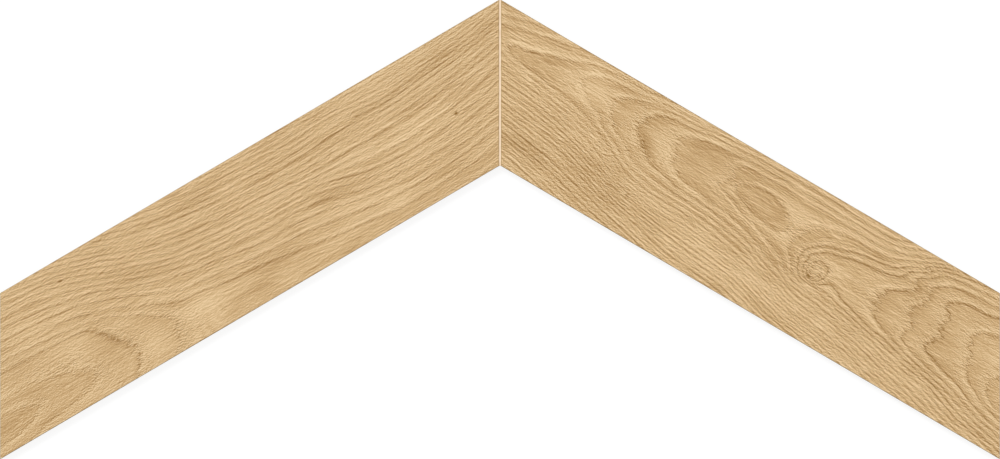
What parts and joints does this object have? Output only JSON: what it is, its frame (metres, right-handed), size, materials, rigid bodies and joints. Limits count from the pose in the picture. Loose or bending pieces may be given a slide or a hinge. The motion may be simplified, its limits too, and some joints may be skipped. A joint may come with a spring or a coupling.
{
  "type": "chevron wall tile",
  "caption": "Mitred wood-look porcelain planks joined into a V by a fine cement joint, with a flat matt face, small ground arrises and a keyed back.",
  "frame": {"origin": "middle of the V's footprint, on the plane of the backs", "axes": "+X across the V to the right plank's outer end, +Y along the joint towards the point, +Z out of the decorated faces"},
  "size_m": [1.0364, 0.4762, 0.0095],
  "materials": {
    "left_porcelain": "matte",
    "right_porcelain": "matte",
    "cement_joint": "matte"
  },
  "bodies": {
    "root": {"left_tile": "left_porcelain", "right_tile": "right_porcelain", "joint_filling": "cement_joint"}
  },
  "joints": []
}
